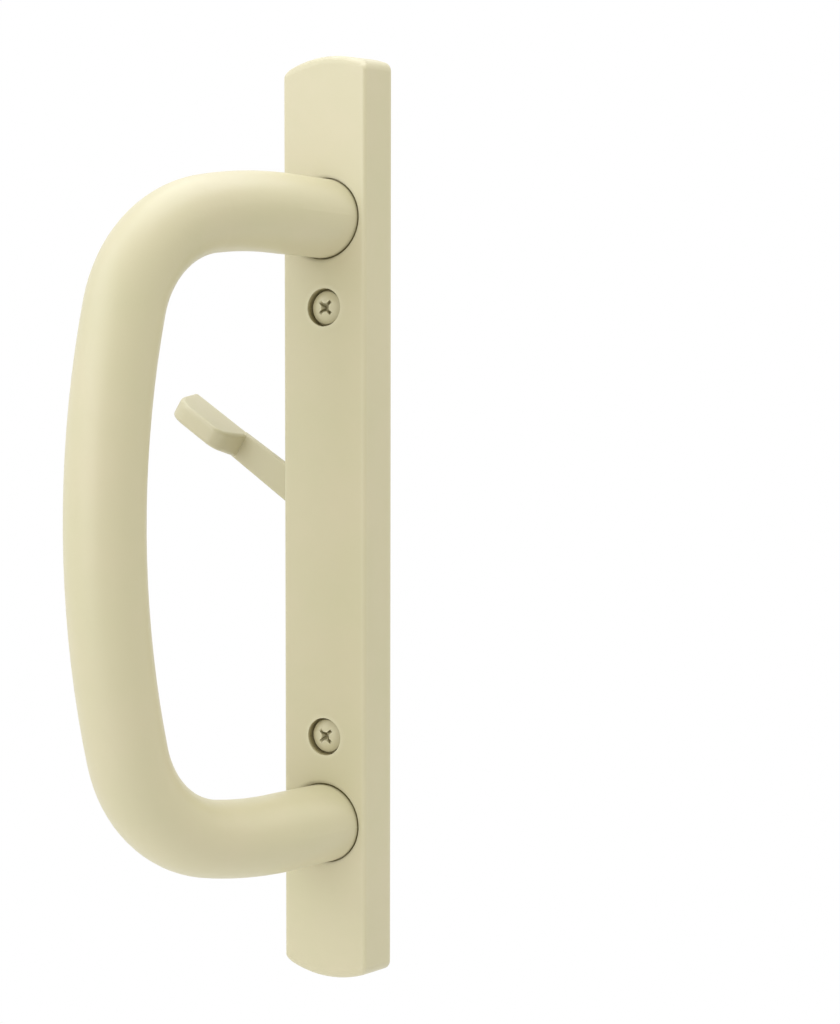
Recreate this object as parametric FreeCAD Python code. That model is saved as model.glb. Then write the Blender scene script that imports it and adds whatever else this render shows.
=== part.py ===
import FreeCAD, Part

import math
import os

# Inside handle of a sliding patio door: a hollow die-cast plate, an offset C-shaped pull and a thumb
# lever that turns a flat tailpiece. Millimetres, +Z up, +X to the right, +Y into the door.
# The origin is on the door's surface, on the lever's axis, midway between the mounting screws.

# Plate
plate_width = 22.1
plate_height = 218.0
plate_depth = 12.0
plate_end_radius = 26.0
plate_end_draft = 8.35
plate_side_edge_radius = 0.9
plate_end_edge_radius = 2.1
plate_corner_room = 0.3
plate_wall = 2.2
plate_front_wall = 2.4
cavity_corner_radius = 1.2
rib_thickness = 1.6
rib_clearance_behind = 3.0
inner_rib_place = 36.0
outer_rib_place = 89.0

# Mounting screws, which go through the door
mount_spacing = 100.0
mount_screw_radius = 2.05
mount_screw_length = 22.0
mount_neck_radius = 1.75
mount_hole_radius = 2.3
mount_head_radius = 3.8
mount_head_edge = 1.4
mount_head_dome = 1.0
mount_head_set_back = 1.45
mount_head_gap = 0.6
mount_post_wall = 1.6

# Pull
pull_spacing = 140.6
pull_tilt = 18.0
pull_reach = 59.3
pull_root_radius = 9.05
pull_arm_radius = 9.0
pull_grip_radius = 8.5
pull_arm_bend = 94.0
pull_arm_bend_angle = 11.7
pull_elbow_bend = 28.0
pull_grip_bend = 217.0
pull_seat_depth = 0.8
pull_seat_gap = 0.3
pull_boss_radius = 8.2
pull_boss_height = 3.2
pull_thread_depth = 12.0

# Screws and lock washers behind the pull
pull_screw_radius = 2.5
pull_screw_length = 16.0
pull_screw_hole_radius = 2.8
pull_head_radius = 4.75
pull_head_edge = 2.4
pull_head_dome = 1.3
lock_washer_outer_radius = 4.6
lock_washer_inner_radius = 2.6
lock_washer_thickness = 1.2
lock_washer_slit = 0.9

# Thumb lever
lever_rest_angle = 33.3
lever_half_swing = 33.3
lever_arm_set_back = 5.2
lever_arm_thickness = 1.6
lever_arm_root_width = 8.2
lever_arm_end_width = 6.9
lever_arm_edge_radius = 0.35
lever_slot_clearance = 0.4
lever_slot_end_room = 0.6
pad_start = 31.8
pad_step_slope = 1.5
pad_front_end = 48.8
pad_back_end = 51.6
pad_depth = 10.8
pad_top = 3.2
pad_front_thickness = 4.7
pad_edge_radius = 1.0
pad_tip_radius = 6.0
pad_step_radius = 3.5

# Lever's bearings
hub_radius = 7.4
hub_thickness = 3.8
front_journal_radius = 3.0
rear_journal_radius = 5.0
rear_journal_stand_out = 2.4
journal_clearance = 0.05
bushing_wall = 0.95
bushing_flange_radius = 6.2
bushing_flange_thickness = 0.7
bushing_boss_wall = 2.4
bushing_boss_height = 1.2
bushing_fit = 0.02
pivot_skin = 1.2
pivot_end_play = 0.3
hub_play = 0.1

# Spring washer and retainer
spring_washer_outer_radius = 7.2
spring_washer_bore_room = 0.3
spring_washer_thickness = 0.4
spring_washer_space = 1.0
spring_washer_play = 0.05
retainer_thickness = 1.2
retainer_length = 50.0
retainer_side_room = 0.35
retainer_corner_radius = 4.0
retainer_screw_spacing = 40.0
retainer_boss_radius = 3.2
retainer_hole_radius = 1.7
retainer_screw_radius = 1.5
retainer_screw_length = 6.0
retainer_head_radius = 2.7
retainer_head_edge = 0.8
retainer_head_dome = 0.5

# Tailpiece
tail_width = 6.35
tail_thickness = 1.6
tail_stand_out = 13.0
tail_tip_chamfer = 1.0
tail_slot_room = 0.05
tail_seat_height = 1.8
pin_radius = 0.8
pin_set_in = 0.2
pin_behind_door_face = 1.1

# Threaded holes are as wide as the screw's thread plus this
thread_room = 0.02
thread_end_room = 1.0
screw_tip_chamfer = 0.5

# Screw heads: the cross recess and a flat top, as shares of the head's radius
flat_top_share = 0.7
cross_span_share = 1.2
cross_width_share = 0.22
cross_core_share = 0.29
cross_depth_share = 0.55
cross_floor_share = 0.35

# Places worked out from the sizes above. Y runs from the front face towards the door.
front = -plate_depth
inner_front = front + plate_front_wall
inner_width = plate_width - 2 * plate_wall
plate_corner_radius = max(plate_end_edge_radius, plate_side_edge_radius) + plate_corner_room
hub_front = inner_front + bushing_boss_height + bushing_flange_thickness + hub_play
hub_back = hub_front + hub_thickness
retainer_front = hub_back + spring_washer_space
retainer_back = retainer_front + retainer_thickness
arm_front = front + lever_arm_set_back
arm_back = arm_front + lever_arm_thickness
pull_seat = front + pull_seat_depth
pull_boss_back = inner_front + pull_boss_height
mount_head_seat = front + mount_head_set_back + mount_head_edge

Y = FreeCAD.Vector(0, 1, 0)
Z = FreeCAD.Vector(0, 0, 1)
ORIGIN = FreeCAD.Vector(0, 0, 0)
TOUCH = 1e-6


def point(x, y, z):
    return FreeCAD.Vector(x, y, z)


def rod(radius, y_from, y_to, z=0.0):
    """Cylinder along Y."""
    return Part.makeCylinder(radius, y_to - y_from, point(0, y_from, z), Y)


def block(x_from, x_to, y_from, y_to, z_from, z_to):
    return Part.makeBox(x_to - x_from, y_to - y_from, z_to - z_from, point(x_from, y_from, z_from))


def prism(points, along):
    """Straight-sided solid from a flat outline."""
    return Part.Face(Part.makePolygon(points + points[:1])).extrude(along)


def turned(profile):
    """Solid turned about the lever's axis from (radius, y) points."""
    outline = [point(radius, y, 0) for radius, y in profile]
    return Part.Face(Part.makePolygon(outline + outline[:1])).revolve(ORIGIN, Y, 360)


def fillet_each(shape, rows):
    """Fillet edges that have their own radii; each row is (edge number, first radius, last radius)."""
    document = FreeCAD.newDocument()
    base = document.addObject("Part::Feature", "Base")
    base.Shape = shape
    rounded = document.addObject("Part::Fillet", "Rounded")
    rounded.Base = base
    rounded.Edges = rows
    document.recompute()
    result = rounded.Shape.copy()
    FreeCAD.closeDocument(document.Name)
    return result


# Plate

def crowned_outline(inset, corner_radius, y):
    """Edges of an upright outline with bowed ends and round corners, set in from the plate's outside."""
    half_width = plate_width / 2 - inset
    end_radius = plate_end_radius - inset
    apex = plate_height / 2 + y * math.tan(math.radians(plate_end_draft)) - inset
    end_centre = apex - end_radius
    corner_x = half_width - corner_radius
    corner_rise = math.sqrt((end_radius - corner_radius) ** 2 - corner_x ** 2)
    corner_z = end_centre + corner_rise
    lean = math.atan2(corner_x, corner_rise)
    middle = (lean + math.pi / 2) / 2

    def right_corner(side):
        """Corner arc from the right side to the upper or lower end."""
        return [point(half_width, y, side * corner_z),
                point(corner_x + corner_radius * math.sin(middle), y,
                      side * (corner_z + corner_radius * math.cos(middle))),
                point(end_radius * math.sin(lean), y, side * (end_centre + end_radius * math.cos(lean)))]

    def left_corner(side):
        return [point(-place.x, y, place.z) for place in reversed(right_corner(side))]

    upper_right = right_corner(1)
    upper_left = left_corner(1)
    lower_left = left_corner(-1)[::-1]
    lower_right = right_corner(-1)[::-1]
    return [
        Part.makeLine(lower_right[-1], upper_right[0]),
        Part.Arc(*upper_right).toShape(),
        Part.Arc(upper_right[-1], point(0, y, apex), upper_left[0]).toShape(),
        Part.Arc(*upper_left).toShape(),
        Part.makeLine(upper_left[-1], lower_left[0]),
        Part.Arc(*lower_left).toShape(),
        Part.Arc(lower_left[-1], point(0, y, -apex), lower_right[0]).toShape(),
        Part.Arc(*lower_right).toShape(),
    ]


def crowned_block(inset, corner_radius, y_from, y_to):
    """Solid between two such outlines; its ends lean outwards towards the door."""
    near = crowned_outline(inset, corner_radius, y_from)
    far = crowned_outline(inset, corner_radius, y_to)
    faces = [Part.Face(Part.Wire(near)), Part.Face(Part.Wire(far))]
    for near_edge, far_edge in zip(near, far):
        if near_edge.Curve.TypeId == "Part::GeomLine":
            corners = [vertex.Point for vertex in near_edge.Vertexes + far_edge.Vertexes[::-1]]
            faces.append(Part.Face(Part.makePolygon(corners + corners[:1])))
        else:
            faces.append(Part.makeRuledSurface(near_edge, far_edge).Faces[0])
    return Part.Solid(Part.Shell(faces))


def plate_body():
    """Outside of the plate, with softer edges at the ends than along the sides."""
    body = crowned_block(0, plate_corner_radius, front, 0)
    rows = []
    for number, edge in enumerate(body.Edges, 1):
        first = edge.Vertexes[0].Point
        last = edge.Vertexes[-1].Point
        if max(abs(first.y - front), abs(last.y - front)) > TOUCH:
            continue
        radii = [plate_end_edge_radius if abs(place.x) < plate_width / 2 - TOUCH else plate_side_edge_radius
                 for place in (first, last)]
        rows.append((number, *radii))
    return fillet_each(body, rows)


def lever_slot_half_height():
    """Half the height of the opening that lets the lever's arm swing through the left wall."""
    angle = math.radians(lever_half_swing)
    half_arm = lever_arm_root_width / 2
    along = (plate_width / 2 + half_arm * math.sin(angle)) / math.cos(angle)
    return along * math.sin(angle) + half_arm * math.cos(angle) + lever_slot_end_room


def make_escutcheon():
    cavity = crowned_block(plate_wall, cavity_corner_radius, inner_front, 0)
    recess_radius = mount_head_radius + mount_head_gap
    post_radius = recess_radius + mount_post_wall
    bushing_hole_radius = front_journal_radius + journal_clearance + bushing_wall + bushing_fit
    bushing_boss_radius = bushing_hole_radius + bushing_boss_wall
    posts = [rod(bushing_boss_radius, inner_front, inner_front + bushing_boss_height)]
    for side in (1, -1):
        posts.append(rod(post_radius, inner_front, 0, z=side * mount_spacing / 2))
        posts.append(rod(pull_boss_radius, inner_front, pull_boss_back, z=side * pull_spacing / 2))
        posts.append(rod(retainer_boss_radius, inner_front, retainer_front,
                         z=side * retainer_screw_spacing / 2))
        for place in (inner_rib_place, outer_rib_place):
            posts.append(block(-inner_width / 2, inner_width / 2, inner_front, -rib_clearance_behind,
                               side * place - rib_thickness / 2, side * place + rib_thickness / 2))
    inside = posts[0].multiFuse(posts[1:]).common(cavity)
    plate = plate_body().cut(cavity).fuse(inside)

    slot = lever_slot_half_height()
    screw_hole_floor = retainer_back - retainer_screw_length - thread_end_room
    cuts = [
        rod(bushing_hole_radius, front + pivot_skin, inner_front + bushing_boss_height),
        block(-plate_width, -inner_width / 2, arm_front - lever_slot_clearance, plate_depth, -slot, slot),
    ]
    for side in (1, -1):
        mount_place = side * mount_spacing / 2
        pull_place = side * pull_spacing / 2
        screw_place = side * retainer_screw_spacing / 2
        cuts.append(rod(recess_radius, front - plate_depth, mount_head_seat, z=mount_place))
        cuts.append(rod(mount_hole_radius, front, plate_depth, z=mount_place))
        cuts.append(rod(pull_root_radius + pull_seat_gap, front - plate_depth, pull_seat, z=pull_place))
        cuts.append(rod(pull_screw_hole_radius, front, pull_boss_back, z=pull_place))
        cuts.append(rod(retainer_screw_radius + thread_room, screw_hole_floor, retainer_front, z=screw_place))
    return plate.cut(cuts[0].multiFuse(cuts[1:])).removeSplitter()


# Pull

def pull_point(along, z):
    """Point in the pull's plane, which leans to the left of the plate's normal."""
    tilt = math.radians(pull_tilt)
    return point(-along * math.sin(tilt), front - along * math.cos(tilt), z)


def pull_section(place, turn, radius):
    """Circle across the bar; turn is 0 along the arm and a quarter turn along the grip."""
    tilt = math.radians(pull_tilt)
    outward = point(-math.sin(tilt), -math.cos(tilt), 0)
    across = point(-math.cos(tilt), math.sin(tilt), 0)
    forward = outward * math.cos(turn) - Z * math.sin(turn)
    circle = Part.Wire(Part.makeCircle(radius))
    circle.Placement = FreeCAD.Placement(
        pull_point(*place), FreeCAD.Rotation(across, forward.cross(across), forward, "ZXY"))
    return circle


def arc_through(places):
    return Part.Arc(*[pull_point(*place) for place in places]).toShape()


def bar(path, sections):
    """Round bar along tangent arcs, through the sections given."""
    pipe = Part.BRepOffsetAPI.MakePipeShell(Part.Wire(path))
    for section in sections:
        pipe.add(section, False, False)
    pipe.build()
    pipe.makeSolid()
    return pipe.shape()


def make_pull_handle():
    """Straight root, slightly bent arm, elbow and bowed grip; the lower half mirrors the upper."""
    half_spacing = pull_spacing / 2
    arm_turn = math.radians(pull_arm_bend_angle)
    arm_drop = pull_arm_bend * (1 - math.cos(arm_turn))
    elbow_turn = math.acos((half_spacing - arm_drop - pull_elbow_bend * math.cos(arm_turn))
                           / (pull_grip_bend - pull_elbow_bend))
    arm_reach = pull_arm_bend * math.sin(arm_turn)
    elbow_reach = pull_elbow_bend * (math.sin(elbow_turn) - math.sin(arm_turn))
    grip_reach = pull_grip_bend * (1 - math.sin(elbow_turn))
    straight = pull_reach - arm_reach - elbow_reach - grip_reach

    def arm_place(turn):
        return (straight + pull_arm_bend * math.sin(turn),
                half_spacing - pull_arm_bend * (1 - math.cos(turn)))

    def elbow_place(turn):
        along, z = arm_place(arm_turn)
        return (along + pull_elbow_bend * (math.sin(turn) - math.sin(arm_turn)),
                z - pull_elbow_bend * (math.cos(arm_turn) - math.cos(turn)))

    arm_start = (straight, half_spacing)
    elbow_start = arm_place(arm_turn)
    grip_start = elbow_place(elbow_turn)
    grip_end = (grip_start[0], -grip_start[1])

    arm_path = arc_through([arm_start, arm_place(arm_turn / 2), elbow_start])
    elbow_path = arc_through([elbow_start, elbow_place((arm_turn + elbow_turn) / 2), grip_start])
    grip_path = arc_through([grip_start, (pull_reach, 0), grip_end])

    root_section = Part.Wire(Part.makeCircle(pull_root_radius, pull_point(0, half_spacing), -Y))
    arm_section = pull_section(arm_start, 0, pull_arm_radius)
    elbow_section = pull_section(elbow_start, arm_turn, pull_grip_radius)
    upper = [
        rod(pull_root_radius, front, pull_seat, z=half_spacing),
        Part.makeLoft([root_section, arm_section], True, True),
        bar([arm_path], [arm_section, elbow_section]),
    ]
    lower = [solid.mirror(ORIGIN, Z) for solid in upper]
    lower_elbow_path = elbow_path.mirror(ORIGIN, Z)
    pull = bar([elbow_path, grip_path, lower_elbow_path], [elbow_section]).multiFuse(upper + lower)
    for side in (1, -1):
        pull = pull.cut(rod(pull_screw_radius + thread_room, pull_seat - pull_thread_depth, pull_seat,
                            z=side * half_spacing))
    return pull.removeSplitter()


# Screws

def cross_recess(head_radius, y_top):
    """Cutter for a cross recess turned to stand as an X, opening towards -Y; its walls lean inwards."""
    depth = head_radius * cross_depth_share
    tip = head_radius * cross_span_share / 2
    half_width = head_radius * cross_width_share / 2
    core = head_radius * cross_core_share
    above = 2 - cross_floor_share
    below = cross_floor_share
    wing = prism([point(-tip * above, y_top - depth, -half_width),
                  point(tip * above, y_top - depth, -half_width),
                  point(tip * below, y_top + depth, -half_width),
                  point(-tip * below, y_top + depth, -half_width)],
                 point(0, 0, 2 * half_width))
    wing.rotate(ORIGIN, Y, 45)
    other_wing = wing.copy()
    other_wing.rotate(ORIGIN, Y, 90)
    middle = Part.makeCone(core * above, core * below, 2 * depth, point(0, y_top - depth, 0), Y)
    return middle.multiFuse([wing, other_wing])


def domed_crown(apex, rim):
    """Profile of a head's top, rounded from its middle to its rim."""
    rise = rim.y - apex.y
    ball = (rim.x ** 2 + rise ** 2) / (2 * rise)
    half_angle = math.asin(rim.x / ball) / 2
    between = point(ball * math.sin(half_angle), apex.y + ball * (1 - math.cos(half_angle)), 0)
    return [Part.Arc(apex, between, rim).toShape()]


def flat_crown(apex, rim):
    """Profile of a head's top, flat in the middle and sloped to its rim."""
    shoulder = point(rim.x * flat_top_share, apex.y, 0)
    return [Part.makeLine(apex, shoulder), Part.makeLine(shoulder, rim)]


def thread(radius, y_from, y_to):
    """Profile of a threaded length with a chamfered tip, as (radius, y) points."""
    tip = screw_tip_chamfer
    return [(radius, y_from), (radius, y_to - tip), (radius - tip, y_to), (0, y_to)]


def pan_screw(crown, head_radius, head_edge, head_dome, shank):
    """Cross-recess pan head screw, head towards -Y, underside of the head at Y = 0."""
    rim = point(head_radius, -head_edge, 0)
    apex = point(0, -head_edge - head_dome, 0)
    corners = [rim, point(head_radius, 0, 0)] + [point(radius, y, 0) for radius, y in shank] + [apex]
    edges = crown(apex, rim) + [Part.makeLine(first, last) for first, last in zip(corners, corners[1:])]
    screw = Part.Face(Part.Wire(edges)).revolve(ORIGIN, Y, 360)
    return screw.cut(cross_recess(head_radius, apex.y))


def pair(solid, y, spacing):
    """Two copies, one above the other below the lever's axis."""
    copies = []
    for side in (1, -1):
        copy = solid.copy()
        copy.translate(point(0, y, side * spacing / 2))
        copies.append(copy)
    return Part.makeCompound(copies)


def make_mounting_screws():
    """Screws with a neck through the plate, thinner than the thread that starts at the door's face."""
    neck_end = -mount_head_seat
    shank = [(mount_neck_radius, 0), (mount_neck_radius, neck_end)]
    shank += thread(mount_screw_radius, neck_end, mount_screw_length)
    screw = pan_screw(domed_crown, mount_head_radius, mount_head_edge, mount_head_dome, shank)
    return pair(screw, mount_head_seat, mount_spacing)


def facing_out(screw):
    """Screw turned to be driven from the door's side."""
    screw.rotate(ORIGIN, Z, 180)
    return screw


def make_pull_screws():
    shank = thread(pull_screw_radius, 0, pull_screw_length)
    screw = pan_screw(flat_crown, pull_head_radius, pull_head_edge, pull_head_dome, shank)
    return pair(facing_out(screw), pull_boss_back + lock_washer_thickness, pull_spacing)


def make_pull_lock_washers():
    washer = rod(lock_washer_outer_radius, 0, lock_washer_thickness)
    washer = washer.cut(rod(lock_washer_inner_radius, 0, lock_washer_thickness))
    half_slit = lock_washer_slit / 2
    lean = lock_washer_thickness
    slit = prism([point(-half_slit - lean / 2, 0, 0), point(half_slit - lean / 2, 0, 0),
                  point(half_slit + lean / 2, lock_washer_thickness, 0),
                  point(-half_slit + lean / 2, lock_washer_thickness, 0)],
                 point(0, 0, 2 * lock_washer_outer_radius))
    return pair(washer.cut(slit), pull_boss_back, pull_spacing)


def make_retainer_screws():
    shank = thread(retainer_screw_radius, 0, retainer_screw_length)
    screw = pan_screw(flat_crown, retainer_head_radius, retainer_head_edge, retainer_head_dome, shank)
    return pair(facing_out(screw), retainer_back, retainer_screw_spacing)


# Lever and its bearings. The lever is drawn level, pointing left, and then raised to its rest angle.

def at_rest(solid):
    solid.rotate(ORIGIN, Y, lever_rest_angle)
    return solid


def lever_arm():
    root = lever_arm_root_width / 2
    end = lever_arm_end_width / 2
    arm_end = pad_start + pad_step_slope
    blade = prism([point(0, arm_front, root), point(-arm_end, arm_front, end),
                   point(-arm_end, arm_front, -end), point(0, arm_front, -root)],
                  point(0, lever_arm_thickness, 0))
    long_edges = [edge for edge in blade.Edges if abs(edge.tangentAt(edge.FirstParameter).x) > 0.9]
    return blade.makeFillet(lever_arm_edge_radius, long_edges)


def upright(edge):
    """Whether an edge is straight and runs along Z."""
    return edge.Curve.TypeId == "Part::GeomLine" and abs(edge.tangentAt(edge.FirstParameter).z) > 0.9


def lever_pad():
    """Lip for the thumb, bent forward from the arm's end, thick in front and as deep as the arm behind."""
    pad_front = arm_back - pad_depth
    section = prism([point(0, arm_back, pad_top), point(0, pad_front, pad_top),
                     point(0, pad_front, pad_top - pad_front_thickness),
                     point(0, arm_back, -lever_arm_end_width / 2)],
                    point(-2 * pad_back_end, 0, 0))
    below = -pad_top - lever_arm_end_width
    plan = prism([point(-pad_start, arm_back, below), point(-pad_start - pad_step_slope, pad_front, below),
                  point(-pad_front_end, pad_front, below), point(-pad_back_end, arm_back, below)],
                 point(0, 0, -2 * below))
    pad = section.common(plan)
    rows = []
    for number, edge in enumerate(pad.Edges, 1):
        place = edge.CenterOfMass
        if upright(edge) and place.y < pad_front + TOUCH:
            radius = pad_tip_radius if place.x < -pad_front_end + TOUCH else pad_step_radius
            rows.append((number, radius, radius))
    pad = fillet_each(pad, rows)
    rims = [edge for edge in pad.Edges if not upright(edge) and edge.CenterOfMass.y < arm_back - TOUCH]
    return pad.makeFillet(pad_edge_radius, rims)


def make_thumb_lever():
    hub = rod(hub_radius, hub_front, hub_back)
    front_journal = rod(front_journal_radius, front + pivot_skin + pivot_end_play, hub_front)
    rear_journal = rod(rear_journal_radius, hub_back, rear_journal_stand_out)
    lever = hub.multiFuse([front_journal, rear_journal, lever_arm(), lever_pad()])
    lever = lever.cut(tail_blade(tail_slot_room, rear_journal_stand_out + tail_width))
    lever = lever.cut(pin_rod(tail_slot_room / 2, 2 * rear_journal_radius + tail_width))
    return at_rest(lever.removeSplitter())


def tail_seat():
    return hub_back - tail_seat_height


def tail_blade(room, y_to):
    """Flat blade that lies level with the lever, larger all round by the room given."""
    half_width = tail_width / 2 + room
    half_thickness = tail_thickness / 2 + room
    return block(-half_width, half_width, tail_seat(), y_to, -half_thickness, half_thickness)


def pin_rod(room, length):
    return Part.makeCylinder(pin_radius + room, length, point(0, pin_behind_door_face, -length / 2), Z)


def make_tailpiece():
    blade = tail_blade(0, tail_stand_out)
    tip_edges = [edge for edge in blade.Edges
                 if upright(edge) and edge.CenterOfMass.y > tail_stand_out - TOUCH]
    blade = blade.makeChamfer(tail_tip_chamfer, tip_edges)
    return at_rest(blade.cut(pin_rod(tail_slot_room / 2, 2 * tail_width)))


def make_tailpiece_pin():
    return at_rest(pin_rod(0, 2 * (rear_journal_radius - pin_set_in)))


def make_lever_bushing():
    bore = front_journal_radius + journal_clearance
    sleeve = bore + bushing_wall
    flange_front = inner_front + bushing_boss_height
    flange_back = flange_front + bushing_flange_thickness
    floor = front + pivot_skin
    return turned([(bore, floor), (sleeve, floor), (sleeve, flange_front),
                   (bushing_flange_radius, flange_front), (bushing_flange_radius, flange_back),
                   (bore, flange_back)])


def make_spring_washer():
    inner = rear_journal_radius + spring_washer_bore_room
    outer = spring_washer_outer_radius
    low = hub_back + spring_washer_play
    high = retainer_front - spring_washer_play
    return turned([(inner, high - spring_washer_thickness), (inner, high),
                   (outer, low + spring_washer_thickness), (outer, low)])


def make_retainer_plate():
    half_width = inner_width / 2 - retainer_side_room
    half_length = retainer_length / 2
    plate = block(-half_width, half_width, retainer_front, retainer_back, -half_length, half_length)
    corners = [edge for edge in plate.Edges if abs(edge.tangentAt(edge.FirstParameter).y) > 0.9]
    plate = plate.makeFillet(retainer_corner_radius, corners)
    plate = plate.cut(rod(rear_journal_radius + journal_clearance, retainer_front, retainer_back))
    for side in (1, -1):
        plate = plate.cut(rod(retainer_hole_radius, retainer_front, retainer_back,
                              z=side * retainer_screw_spacing / 2))
    return plate


MAKERS = {
    "escutcheon": make_escutcheon,
    "pull_handle": make_pull_handle,
    "thumb_lever": make_thumb_lever,
    "mounting_screws": make_mounting_screws,
    "pull_screws": make_pull_screws,
    "pull_lock_washers": make_pull_lock_washers,
    "lever_bushing": make_lever_bushing,
    "spring_washer": make_spring_washer,
    "retainer_plate": make_retainer_plate,
    "retainer_screws": make_retainer_screws,
    "tailpiece": make_tailpiece,
    "tailpiece_pin": make_tailpiece_pin,
}


def main():
    os.makedirs("parts", exist_ok=True)
    for name, make in MAKERS.items():
        shape = make()
        print(name, "valid", shape.isValid(), "solids", len(shape.Solids), "volume", round(shape.Volume, 2))
        shape.exportStep(os.path.join("parts", name + ".step"))


main()
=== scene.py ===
import math

import bmesh
import bpy
from mathutils import Matrix, Vector


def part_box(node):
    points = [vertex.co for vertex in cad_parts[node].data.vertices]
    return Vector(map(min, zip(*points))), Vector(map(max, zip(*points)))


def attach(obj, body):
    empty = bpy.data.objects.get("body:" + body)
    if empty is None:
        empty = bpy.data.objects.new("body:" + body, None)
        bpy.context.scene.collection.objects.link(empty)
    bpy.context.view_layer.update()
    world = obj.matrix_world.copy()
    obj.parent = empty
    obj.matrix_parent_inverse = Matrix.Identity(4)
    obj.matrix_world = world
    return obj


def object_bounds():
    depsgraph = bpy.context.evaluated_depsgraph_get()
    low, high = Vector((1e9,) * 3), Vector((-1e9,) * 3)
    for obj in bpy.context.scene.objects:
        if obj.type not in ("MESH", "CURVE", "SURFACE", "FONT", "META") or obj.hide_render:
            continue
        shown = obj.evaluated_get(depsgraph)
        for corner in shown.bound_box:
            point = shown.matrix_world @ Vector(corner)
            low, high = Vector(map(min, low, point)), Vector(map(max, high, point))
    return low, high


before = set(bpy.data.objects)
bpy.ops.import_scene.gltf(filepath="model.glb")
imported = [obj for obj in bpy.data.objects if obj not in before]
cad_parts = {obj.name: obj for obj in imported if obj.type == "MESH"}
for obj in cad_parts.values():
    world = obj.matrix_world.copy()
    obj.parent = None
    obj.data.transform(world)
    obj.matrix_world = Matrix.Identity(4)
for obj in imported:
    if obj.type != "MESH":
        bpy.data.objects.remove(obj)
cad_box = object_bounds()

# Looks of the patio door handle: satin almond powder coat, zinc-plated steel, spring steel and nylon.
# Metres, in the frame of the solids: +Z up, +X to the right, +Y into the door.

# Colours, linear
ALMOND = (0.643, 0.593, 0.404)
ALMOND_WARM = (0.658, 0.597, 0.416)
ALMOND_COOL = (0.627, 0.587, 0.391)
# Painted highlight for edges
ALMOND_EDGE_HIGHLIGHT = (0.730, 0.690, 0.510)
# Painted shade for crevices, recesses and seams: soft, then deep
PAINTED_SHADE_SOFT = (0.440, 0.380, 0.200)
PAINTED_SHADE_DEEP = (0.180, 0.145, 0.050)
# Painted shade: the lever's whole coat darker, for the pull's shadow that falls on it
LEVER_PAINTED_SHADE = 0.89
ZINC = (0.60, 0.61, 0.62)
ZINC_BLUE = (0.52, 0.55, 0.60)
SPRING = (0.22, 0.22, 0.23)
SPRING_BLUE = (0.16, 0.17, 0.20)
NYLON = (0.82, 0.80, 0.73)
NYLON_SHADE = (0.76, 0.73, 0.65)
FLOOR = (0.86, 0.86, 0.86)

# Roughness of each surface, from its smoothest places to its dullest
COAT_ROUGHNESS = (0.35, 0.44)
PAINT_ROUGHNESS = (0.31, 0.42)
ZINC_ROUGHNESS = (0.23, 0.39)
SPRING_ROUGHNESS = (0.29, 0.45)
NYLON_ROUGHNESS = (0.42, 0.55)
FLOOR_ROUGHNESS = (0.75, 0.85)

# Noise on the surfaces: features per metre, and how many finer layers it has
MOTTLE = (55.0, 3.0)
SPECK = (2600.0, 2.0)
SHEEN = (420.0, 3.0)
PEEL = (900.0, 1.0)
GRAIN = (4200.0, 2.0)
CLOUD = (160.0, 4.0)
SMEAR = (700.0, 3.0)
MARKS = (2400.0, 3.0)
MILK = (300.0, 2.0)
MOULD = (1500.0, 2.0)
FLOOR_GRAIN = (30.0, 3.0)

# Values between which the middle of a noise lies
NOISE_LOW = 0.3
NOISE_HIGH = 0.7

# Bumps: strength, and height in metres
PEEL_BUMP = (0.35, 0.00004)
GRAIN_BUMP = (0.25, 0.000012)
MARKS_BUMP = (0.20, 0.00001)
MOULD_BUMP = (0.15, 0.00001)

# Painted shade where the almond coat closes in on itself: how far round a place is looked at, how open it
# is where darkest and where clear, and the painted shade's colour where darkest; then how many rays look
# for it
DEEP_GAP_SHADE = (0.0080, 0.25, 0.60, PAINTED_SHADE_SOFT)
NEAR_GAP_SHADE = (0.0035, 0.12, 0.60, PAINTED_SHADE_DEEP)
FINE_GAP_SHADE = (0.0014, 0.12, 0.60, PAINTED_SHADE_DEEP)
SEAM_SHADE = (0.0020, 0.51, 0.80, PAINTED_SHADE_DEEP)
GAP_SAMPLES = 8

# Painted highlight on edges: how far from an edge, how well a rounded normal agrees with the plain one
# on the edge and on a face, how pale the painted highlight makes the edge, and how many rays look for it
FINE_EDGE = 0.0009
BROAD_EDGE = 0.0022
EDGE_AGREES = 0.86
FACE_AGREES = 0.995
EDGE_HIGHLIGHT_SHARE = 0.55
EDGE_SAMPLES = 6

# Coat: how far the specks show, its index of refraction, and the length over which paint gives way to zinc
SPECK_SHARE = 0.35
COAT_IOR = 1.52
PAINT_FADE = 0.0002

# Nylon: how much light goes into it, and how far for red, green and blue
MILK_SHARE = 0.15
MILK_REACH = (0.0012, 0.0010, 0.0008)


# Materials

def new_material(name):
    """Material with a Principled shader; returns it with its nodes, links and shader."""
    material = bpy.data.materials.new(name)
    material.use_nodes = True
    nodes = material.node_tree.nodes
    return material, nodes, material.node_tree.links, nodes["Principled BSDF"]


def add_noise(nodes, links, coords, kind):
    """Noise in the object's own space."""
    scale, detail = kind
    noise = nodes.new("ShaderNodeTexNoise")
    noise.inputs["Scale"].default_value = scale
    noise.inputs["Detail"].default_value = detail
    links.new(coords.outputs["Object"], noise.inputs["Vector"])
    return noise.outputs["Fac"]


def add_range(nodes, links, value, low, high, from_low, from_high):
    """Value moved from one range to another and held inside it."""
    spread = nodes.new("ShaderNodeMapRange")
    spread.inputs["From Min"].default_value = from_low
    spread.inputs["From Max"].default_value = from_high
    spread.inputs["To Min"].default_value = low
    spread.inputs["To Max"].default_value = high
    links.new(value, spread.inputs["Value"])
    return spread.outputs["Result"]


def add_spread(nodes, links, noise, low=0.0, high=1.0):
    """Noise whose middle is spread over a range."""
    return add_range(nodes, links, noise, low, high, NOISE_LOW, NOISE_HIGH)


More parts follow.
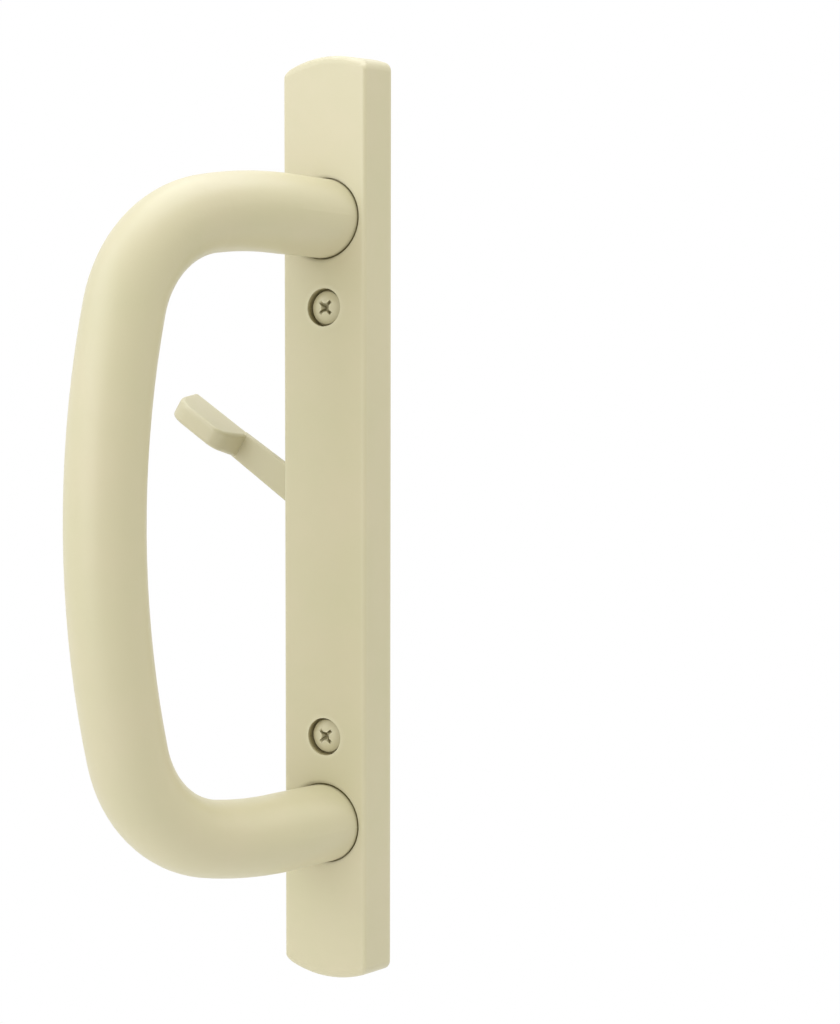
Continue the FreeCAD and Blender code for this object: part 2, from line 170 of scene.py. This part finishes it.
def add_mix(nodes, links, factor, first, second):
    """Colour between two others; each is a colour or the output of another node."""
    mix = nodes.new("ShaderNodeMix")
    mix.data_type = "RGBA"
    links.new(factor, mix.inputs["Factor"])
    for name, colour in (("A", first), ("B", second)):
        socket = [one for one in mix.inputs if one.name == name and one.type == "RGBA"][0]
        if isinstance(colour, tuple):
            socket.default_value = (*colour, 1.0)
        else:
            links.new(colour, socket)
    return [one for one in mix.outputs if one.type == "RGBA"][0]


def add_bump(nodes, links, height, kind, normal=None):
    """Normal of a bumpy surface, on top of another normal where one is given."""
    strength, distance = kind
    bump = nodes.new("ShaderNodeBump")
    bump.inputs["Strength"].default_value = strength
    bump.inputs["Distance"].default_value = distance
    links.new(height, bump.inputs["Height"])
    if normal is not None:
        links.new(normal, bump.inputs["Normal"])
    return bump.outputs["Normal"]


def add_math(nodes, links, operation, first, second):
    """Result of an operation on two outputs."""
    math_node = nodes.new("ShaderNodeMath")
    math_node.operation = operation
    links.new(first, math_node.inputs[0])
    links.new(second, math_node.inputs[1])
    return math_node.outputs["Value"]


def add_painted_edge_highlight(nodes, links, colour, reach):
    """Painted highlight: colour made paler on sharp or tightly rounded edges."""
    bevel = nodes.new("ShaderNodeBevel")
    bevel.samples = EDGE_SAMPLES
    bevel.inputs["Radius"].default_value = reach
    geometry = nodes.new("ShaderNodeNewGeometry")
    dot = nodes.new("ShaderNodeVectorMath")
    dot.operation = "DOT_PRODUCT"
    links.new(bevel.outputs["Normal"], dot.inputs[0])
    links.new(geometry.outputs["Normal"], dot.inputs[1])
    mask = add_range(nodes, links, dot.outputs["Value"], EDGE_HIGHLIGHT_SHARE, 0.0, EDGE_AGREES, FACE_AGREES)
    return add_mix(nodes, links, mask, colour, ALMOND_EDGE_HIGHLIGHT)


def add_painted_gap_shade(nodes, links, colour, painted_gap_shades):
    """Painted shade: colour made darker where the part closes in on itself, by each gap in turn."""
    for reach, closed, clear, dark in painted_gap_shades:
        occlusion = nodes.new("ShaderNodeAmbientOcclusion")
        occlusion.samples = GAP_SAMPLES
        occlusion.inputs["Distance"].default_value = reach
        mask = add_range(nodes, links, occlusion.outputs["AO"], 1.0, 0.0, closed, clear)
        colour = add_mix(nodes, links, mask, colour, dark)
    return colour


def shaded(colour, shade):
    """Colour made darker or lighter all over."""
    return tuple(shade * part for part in colour)


def add_coat_colour(nodes, links, coords, painted_gap_shades, edge_reach, shade=1.0):
    """Almond with faint mottling and specks, a painted highlight on its edges and painted shade where it
    closes in on itself.
    """
    mottle = add_spread(nodes, links, add_noise(nodes, links, coords, MOTTLE))
    patches = add_mix(nodes, links, mottle, shaded(ALMOND_COOL, shade), shaded(ALMOND_WARM, shade))
    speck = add_spread(nodes, links, add_noise(nodes, links, coords, SPECK), high=SPECK_SHARE)
    body = add_mix(nodes, links, speck, patches, shaded(ALMOND, shade))
    return add_painted_gap_shade(nodes, links, add_painted_edge_highlight(nodes, links, body, edge_reach), painted_gap_shades)


def add_coat_skin(nodes, links, coords):
    """Normal of the coat's orange peel with a fine grain on it."""
    peel = add_bump(nodes, links, add_noise(nodes, links, coords, PEEL), PEEL_BUMP)
    return add_bump(nodes, links, add_noise(nodes, links, coords, GRAIN), GRAIN_BUMP, peel)


def add_cloudy_tint(nodes, links, coords, dark, light):
    """Cloudy colour of plated metal."""
    cloud = add_spread(nodes, links, add_noise(nodes, links, coords, CLOUD))
    return add_mix(nodes, links, cloud, dark, light)


def powder_coat(name, painted_gap_shades, edge_reach=FINE_EDGE, shade=1.0):
    """Satin almond powder coat on a casting."""
    material, nodes, links, shader = new_material(name)
    coords = nodes.new("ShaderNodeTexCoord")
    colour = add_coat_colour(nodes, links, coords, painted_gap_shades, edge_reach, shade)
    links.new(colour, shader.inputs["Base Color"])
    sheen = add_noise(nodes, links, coords, SHEEN)
    links.new(add_spread(nodes, links, sheen, *COAT_ROUGHNESS), shader.inputs["Roughness"])
    links.new(add_coat_skin(nodes, links, coords), shader.inputs["Normal"])
    shader.inputs["IOR"].default_value = COAT_IOR
    return material


def painted_screw(name, paint_end):
    """Almond paint on the head, bare zinc on the shank behind it."""
    material, nodes, links, shader = new_material(name)
    coords = nodes.new("ShaderNodeTexCoord")
    place = nodes.new("ShaderNodeSeparateXYZ")
    links.new(coords.outputs["Object"], place.inputs["Vector"])
    bare = add_range(nodes, links, place.outputs["Y"], 0.0, 1.0, paint_end - PAINT_FADE, paint_end)
    # Painted shade in the screw head's cross recess and a painted highlight on its edges
    coat = add_coat_colour(nodes, links, coords, (FINE_GAP_SHADE,), FINE_EDGE)
    zinc = add_cloudy_tint(nodes, links, coords, ZINC_BLUE, ZINC)
    links.new(add_mix(nodes, links, bare, coat, zinc), shader.inputs["Base Color"])
    links.new(bare, shader.inputs["Metallic"])
    sheen = add_noise(nodes, links, coords, SHEEN)
    links.new(add_spread(nodes, links, sheen, *PAINT_ROUGHNESS), shader.inputs["Roughness"])
    links.new(add_coat_skin(nodes, links, coords), shader.inputs["Normal"])
    return material


def plated_steel(name, light, dark, roughness):
    """Plated or oiled steel: cloudy tint, uneven shine and handling marks."""
    material, nodes, links, shader = new_material(name)
    coords = nodes.new("ShaderNodeTexCoord")
    links.new(add_cloudy_tint(nodes, links, coords, dark, light), shader.inputs["Base Color"])
    smear = add_noise(nodes, links, coords, SMEAR)
    links.new(add_spread(nodes, links, smear, *roughness), shader.inputs["Roughness"])
    marks = add_noise(nodes, links, coords, MARKS)
    links.new(add_bump(nodes, links, marks, MARKS_BUMP), shader.inputs["Normal"])
    shader.inputs["Metallic"].default_value = 1.0
    return material


def nylon(name):
    """Natural nylon: milky, slightly uneven, faintly rough from its mould."""
    material, nodes, links, shader = new_material(name)
    coords = nodes.new("ShaderNodeTexCoord")
    milk = add_spread(nodes, links, add_noise(nodes, links, coords, MILK))
    links.new(add_mix(nodes, links, milk, NYLON_SHADE, NYLON), shader.inputs["Base Color"])
    skin = add_noise(nodes, links, coords, MOULD)
    links.new(add_spread(nodes, links, skin, *NYLON_ROUGHNESS), shader.inputs["Roughness"])
    links.new(add_bump(nodes, links, skin, MOULD_BUMP), shader.inputs["Normal"])
    shader.inputs["Subsurface Weight"].default_value = MILK_SHARE
    shader.inputs["Subsurface Radius"].default_value = MILK_REACH
    return material


def dress(material, *names):
    """Give a material to solids of the frame."""
    for name in names:
        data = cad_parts[name].data
        data.materials.clear()
        data.materials.append(material)


plate_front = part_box("escutcheon")[0].y
zinc_steel = plated_steel("zinc_steel", ZINC, ZINC_BLUE, ZINC_ROUGHNESS)
spring_steel = plated_steel("spring_steel", SPRING, SPRING_BLUE, SPRING_ROUGHNESS)
# Each almond coat has painted shade where it closes in on itself and a painted highlight on its edges
dress(powder_coat("almond_plate", (SEAM_SHADE, DEEP_GAP_SHADE), BROAD_EDGE), "escutcheon")
dress(powder_coat("almond_pull", (SEAM_SHADE, NEAR_GAP_SHADE)), "pull_handle")
# The lever's almond is darker all over as painted shade
dress(powder_coat("almond_lever", (NEAR_GAP_SHADE,), shade=LEVER_PAINTED_SHADE), "thumb_lever")
dress(painted_screw("almond_screws", paint_end=plate_front / 2), "mounting_screws")
dress(zinc_steel, "pull_screws", "retainer_plate", "retainer_screws", "tailpiece")
dress(spring_steel, "pull_lock_washers", "spring_washer", "tailpiece_pin")
dress(nylon("white_nylon"), "lever_bushing")


# Fine threads on the mounting screws' shanks

MOUNT_SPACING = 0.100
THREAD_RADIUS = 0.00205
THREAD_PITCH = 0.0008
THREAD_HALF_WIDTH = 0.4 * THREAD_PITCH
THREAD_HEIGHT = 0.00018
THREAD_END_SHARE = 0.1
THREAD_SINK = 0.00003
THREAD_STEPS = 36
TIP_ROOM = 0.0009


def add_thread(builder, z, y_from, y_to):
    """Helical ridge with a triangular section that runs out at both ends."""
    count = int((y_to - y_from) / THREAD_PITCH * THREAD_STEPS)
    root = THREAD_RADIUS - THREAD_SINK
    rings = []
    for step in range(count + 1):
        angle = 2 * math.pi * step / THREAD_STEPS
        y = y_from + THREAD_PITCH * step / THREAD_STEPS
        turns_to_end = min(step, count - step) / THREAD_STEPS
        crest = THREAD_RADIUS + min(1.0, THREAD_END_SHARE + turns_to_end) * THREAD_HEIGHT
        section = ((root, y - THREAD_HALF_WIDTH), (crest, y), (root, y + THREAD_HALF_WIDTH))
        rings.append([builder.verts.new((radius * math.cos(angle), along, z + radius * math.sin(angle)))
                      for radius, along in section])
    for ring, following in zip(rings, rings[1:]):
        for first in range(3):
            second = (first + 1) % 3
            builder.faces.new((ring[first], ring[second], following[second], following[first]))
    builder.faces.new(rings[0])
    builder.faces.new(rings[-1])


def make_threads():
    """Threads of both screws, from the plate's back to the screws' tips."""
    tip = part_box("mounting_screws")[1].y
    builder = bmesh.new()
    for side in (1, -1):
        add_thread(builder, side * MOUNT_SPACING / 2, THREAD_PITCH, tip - TIP_ROOM)
    bmesh.ops.recalc_face_normals(builder, faces=builder.faces)
    mesh = bpy.data.meshes.new("screw_threads")
    builder.to_mesh(mesh)
    builder.free()
    mesh.materials.append(zinc_steel)
    threads = bpy.data.objects.new("screw_threads", mesh)
    bpy.context.scene.collection.objects.link(threads)
    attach(threads, "handle")


make_threads()


# Background: a pale floor well below the part, which fades to white away from it

FLOOR_DROP = 0.12
FLOOR_SIZE = 6.0
FADE_START = 0.10
FADE_END = 0.28


def add_seen_rays(nodes, links):
    """1 for rays that show the background: from the camera, off glossy faces or through clear ones."""
    path = nodes.new("ShaderNodeLightPath")
    total = path.outputs["Is Camera Ray"]
    for name in ("Is Glossy Ray", "Is Transmission Ray"):
        total = add_math(nodes, links, "MAXIMUM", total, path.outputs[name])
    return total


def pale_floor(foot):
    """Matt floor that keeps the part's shadow round its foot and is white further out."""
    material, nodes, links, shader = new_material("pale_floor")
    coords = nodes.new("ShaderNodeTexCoord")
    grain = add_noise(nodes, links, coords, FLOOR_GRAIN)
    links.new(add_spread(nodes, links, grain, *FLOOR_ROUGHNESS), shader.inputs["Roughness"])
    shader.inputs["Base Color"].default_value = (*FLOOR, 1.0)
    geometry = nodes.new("ShaderNodeNewGeometry")
    away = nodes.new("ShaderNodeVectorMath")
    away.operation = "DISTANCE"
    links.new(geometry.outputs["Position"], away.inputs[0])
    away.inputs[1].default_value = foot
    fade = add_range(nodes, links, away.outputs["Value"], 0.0, 1.0, FADE_START, FADE_END)
    white = nodes.new("ShaderNodeEmission")
    mix = nodes.new("ShaderNodeMixShader")
    links.new(add_math(nodes, links, "MULTIPLY", fade, add_seen_rays(nodes, links)), mix.inputs["Fac"])
    links.new(shader.outputs["BSDF"], mix.inputs[1])
    links.new(white.outputs["Emission"], mix.inputs[2])
    links.new(mix.outputs["Shader"], nodes["Material Output"].inputs["Surface"])
    return material


def make_floor():
    """Large level floor under the part's middle."""
    low, high = cad_box
    foot = Vector(((low.x + high.x) / 2, (low.y + high.y) / 2, low.z - FLOOR_DROP))
    half = FLOOR_SIZE / 2
    corners = [(x * half, y * half, foot.z) for x, y in ((-1, -1), (1, -1), (1, 1), (-1, 1))]
    mesh = bpy.data.meshes.new("floor")
    mesh.from_pydata(corners, [], [(0, 1, 2, 3)])
    mesh.materials.append(pale_floor(foot))
    floor = bpy.data.objects.new("floor", mesh)
    bpy.context.scene.collection.objects.link(floor)


make_floor()


# Camera: turned round the part from straight in front of the plate, then moved along its own axes

IMAGE_LONG_SIDE = 1024
SENSOR_MM = 36.0
FOCAL_PIXELS = 1575.5
VIEW_AZIMUTH = math.radians(28.02)
VIEW_ELEVATION = math.radians(2.94)
VIEW_ROLL = math.radians(0.123)
VIEW_DISTANCE = 0.36631
VIEW_RIGHT = 0.02235
VIEW_UP = 0.00268
VIEW_NEAREST = 0.01
VIEW_FURTHEST = 20.0


def make_camera():
    """Camera at the photograph's viewing angle, aimed beside the plate's front face."""
    sine, cosine = math.sin(VIEW_AZIMUTH), math.cos(VIEW_AZIMUTH)
    level, rise = math.cos(VIEW_ELEVATION), math.sin(VIEW_ELEVATION)
    back = Vector((sine * level, -cosine * level, rise))
    level_right = Vector((cosine, sine, 0.0))
    level_up = back.cross(level_right)
    right = level_right * math.cos(VIEW_ROLL) + level_up * math.sin(VIEW_ROLL)
    up = back.cross(right)
    front_centre = Vector((0.0, plate_front, 0.0))
    data = bpy.data.cameras.new("camera")
    data.sensor_width = SENSOR_MM
    data.lens = SENSOR_MM * FOCAL_PIXELS / IMAGE_LONG_SIDE
    data.clip_start = VIEW_NEAREST
    data.clip_end = VIEW_FURTHEST
    camera = bpy.data.objects.new("camera", data)
    bpy.context.scene.collection.objects.link(camera)
    axes = Matrix((right, up, back)).transposed().to_4x4()
    axes.translation = front_centre + right * VIEW_RIGHT + up * VIEW_UP + back * VIEW_DISTANCE
    camera.matrix_world = axes
    bpy.context.scene.camera = camera


make_camera()


# Light: a large softbox overhead, two in front, one behind to the right, and an even ambient

LIGHT_TARGET = Vector((0.0, -0.03, 0.0))
WHITE = (1.0, 1.0, 1.0)
COOL_WHITE = (0.88, 0.92, 1.00)
WARM_WHITE = (1.00, 0.98, 0.84)
AMBIENT = (0.51, 0.50, 0.43)


def make_light(name, place, size, power, colour=WHITE):
    """Square softbox aimed at the part's middle; size in metres, power in watts."""
    data = bpy.data.lights.new(name, "AREA")
    data.shape = "SQUARE"
    data.size = size
    data.energy = power
    data.color = colour
    lamp = bpy.data.objects.new(name, data)
    lamp.location = place
    lamp.rotation_mode = "QUATERNION"
    lamp.rotation_quaternion = (LIGHT_TARGET - Vector(place)).to_track_quat("-Z", "Y")
    bpy.context.scene.collection.objects.link(lamp)


def make_world():
    """Even light on the part; white where the camera, a glossy face or a clear one shows it."""
    world = bpy.data.worlds.new("studio")
    world.use_nodes = True
    nodes, links = world.node_tree.nodes, world.node_tree.links
    colour = add_mix(nodes, links, add_seen_rays(nodes, links), AMBIENT, WHITE)
    links.new(colour, nodes["Background"].inputs["Color"])
    bpy.context.scene.world = world


make_world()
make_light("overhead", (0.0, 0.0, 0.95), size=1.0, power=7.0, colour=COOL_WHITE)
make_light("left_front", (-0.44, -0.52, 0.45), size=0.6, power=1.9, colour=COOL_WHITE)
make_light("low_front", (-0.14, -0.81, 0.14), size=0.6, power=1.75)
make_light("right_back", (0.53, 0.16, 0.57), size=0.7, power=1.5, colour=WARM_WHITE)

bpy.context.scene.view_settings.view_transform = "Standard"
